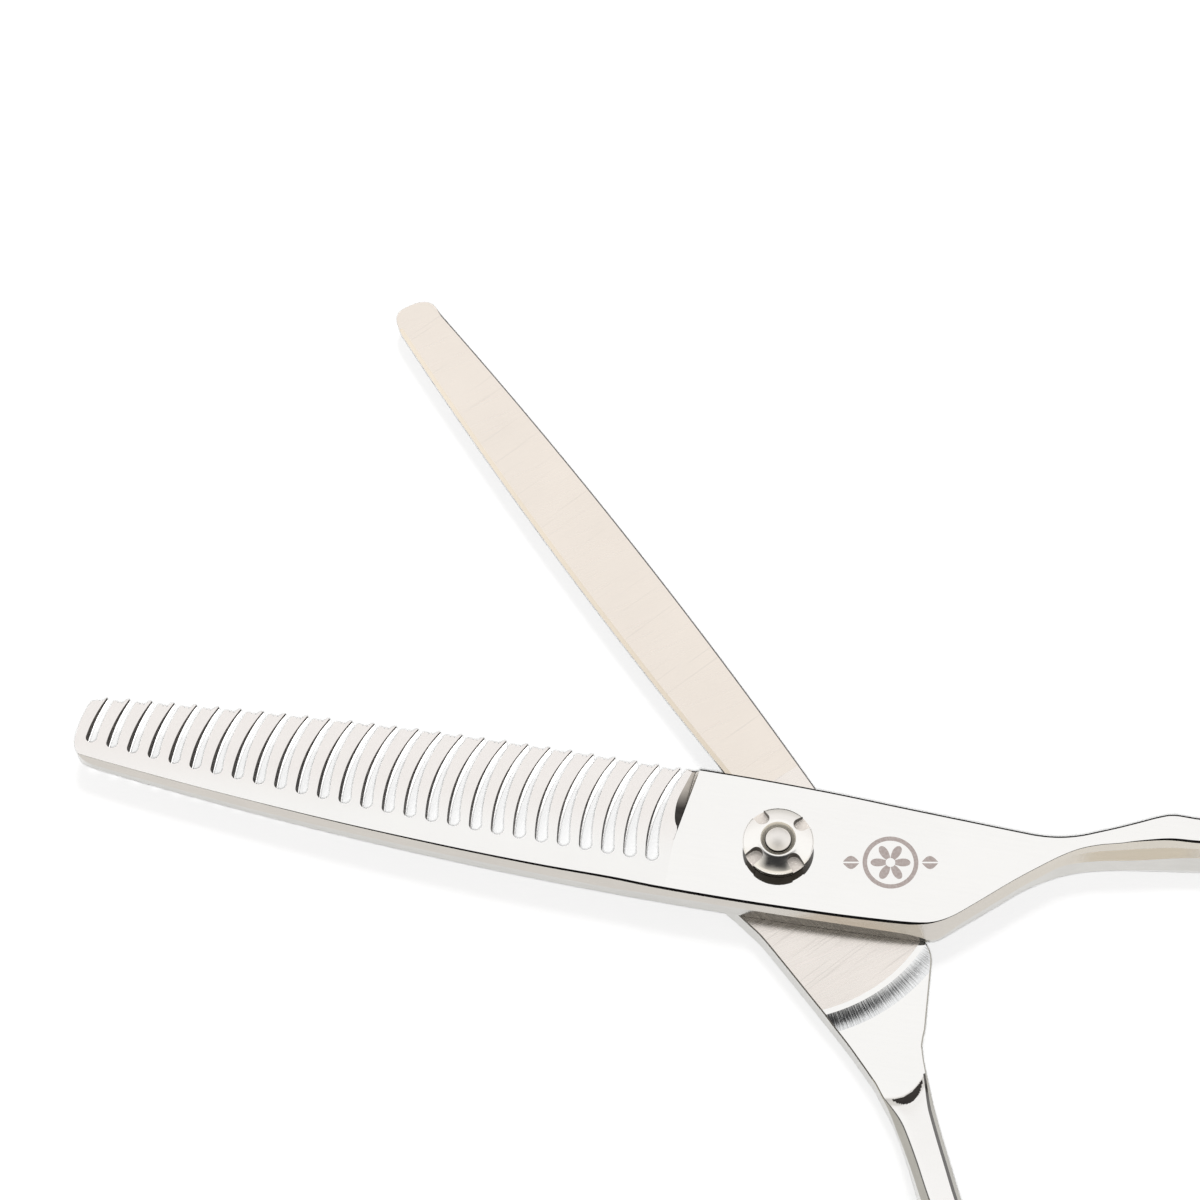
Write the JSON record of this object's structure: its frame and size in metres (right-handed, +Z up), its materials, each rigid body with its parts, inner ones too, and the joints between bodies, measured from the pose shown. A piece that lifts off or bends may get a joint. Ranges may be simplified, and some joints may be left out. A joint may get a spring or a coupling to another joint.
{
  "type": "hair thinning shears",
  "caption": "Hairdresser's thinning shears, half open: a toothed blade over a plain blade on a notched tension nut, with offset finger rings, finger rest and bumper.",
  "frame": {"origin": "on the pivot axis, at the centre of the flat face of the pivot bolt's head, which stands on the table", "axes": "-X along the toothed blade to its tip and +X towards the rings, +Z up through the tension nut, +Y to the side where the plain blade stands open"},
  "size_m": [0.1625, 0.1199, 0.0077],
  "materials": {
    "polished_steel": "mirror polished stainless steel",
    "blade_steel": "polished stainless steel with a finely ground inner face",
    "hardware_steel": "fine turned",
    "bush_bronze": "machined",
    "glide_polymer": "matte",
    "nut_nickel": "polished nickel plate",
    "black_rubber": "matte"
  },
  "bodies": {
    "toothed_side": {"comb_half": "polished_steel", "pivot_bush": "bush_bronze", "glide_washer": "glide_polymer", "disc_spring": "hardware_steel"},
    "plain_side": {"plain_half": "blade_steel", "pivot_bolt": "hardware_steel", "bumper": "black_rubber", "bumper_stud": "hardware_steel"},
    "pressure_washer": {"keyed_washer": "hardware_steel"},
    "nut": {"tension_nut": "nut_nickel"},
    "rest_washer": {"finger_rest_washer": "black_rubber"},
    "rest": {"finger_rest": "polished_steel"}
  },
  "joints": [
    {"name": "blade_pivot", "type": "hinge", "parent": "toothed_side", "child": "plain_side", "pos_m": [0, 0, 0.003], "axis": [0, 0, 1], "range_deg": [-45, 47]},
    {"name": "washer_lift", "type": "slide", "parent": "plain_side", "child": "pressure_washer", "axis": [0, 0, 1], "range_m": [0, 0.000225], "deforming": ["disc_spring"]},
    {"name": "nut_turn", "type": "hinge", "parent": "pressure_washer", "child": "nut", "pos_m": [0, 0, 0.006], "axis": [0, 0, 1], "range_deg": [0, 180]},
    {"name": "rest_washer_slide", "type": "slide", "parent": "toothed_side", "child": "rest_washer", "axis": [0.9397, 0.342, 0], "range_m": [0, 0.00135]},
    {"name": "rest_unscrew", "type": "hinge", "parent": "rest_washer", "child": "rest", "pos_m": [0.087, 0.0181, 0.003], "axis": [0.9397, 0.342, 0], "range_deg": [0, 1080]}
  ],
  "couplings": [
    {"joint": "nut_turn", "follows": "washer_lift", "rad_per_m": 13963},
    {"joint": "rest_unscrew", "follows": "rest_washer_slide", "rad_per_m": 13963}
  ]
}
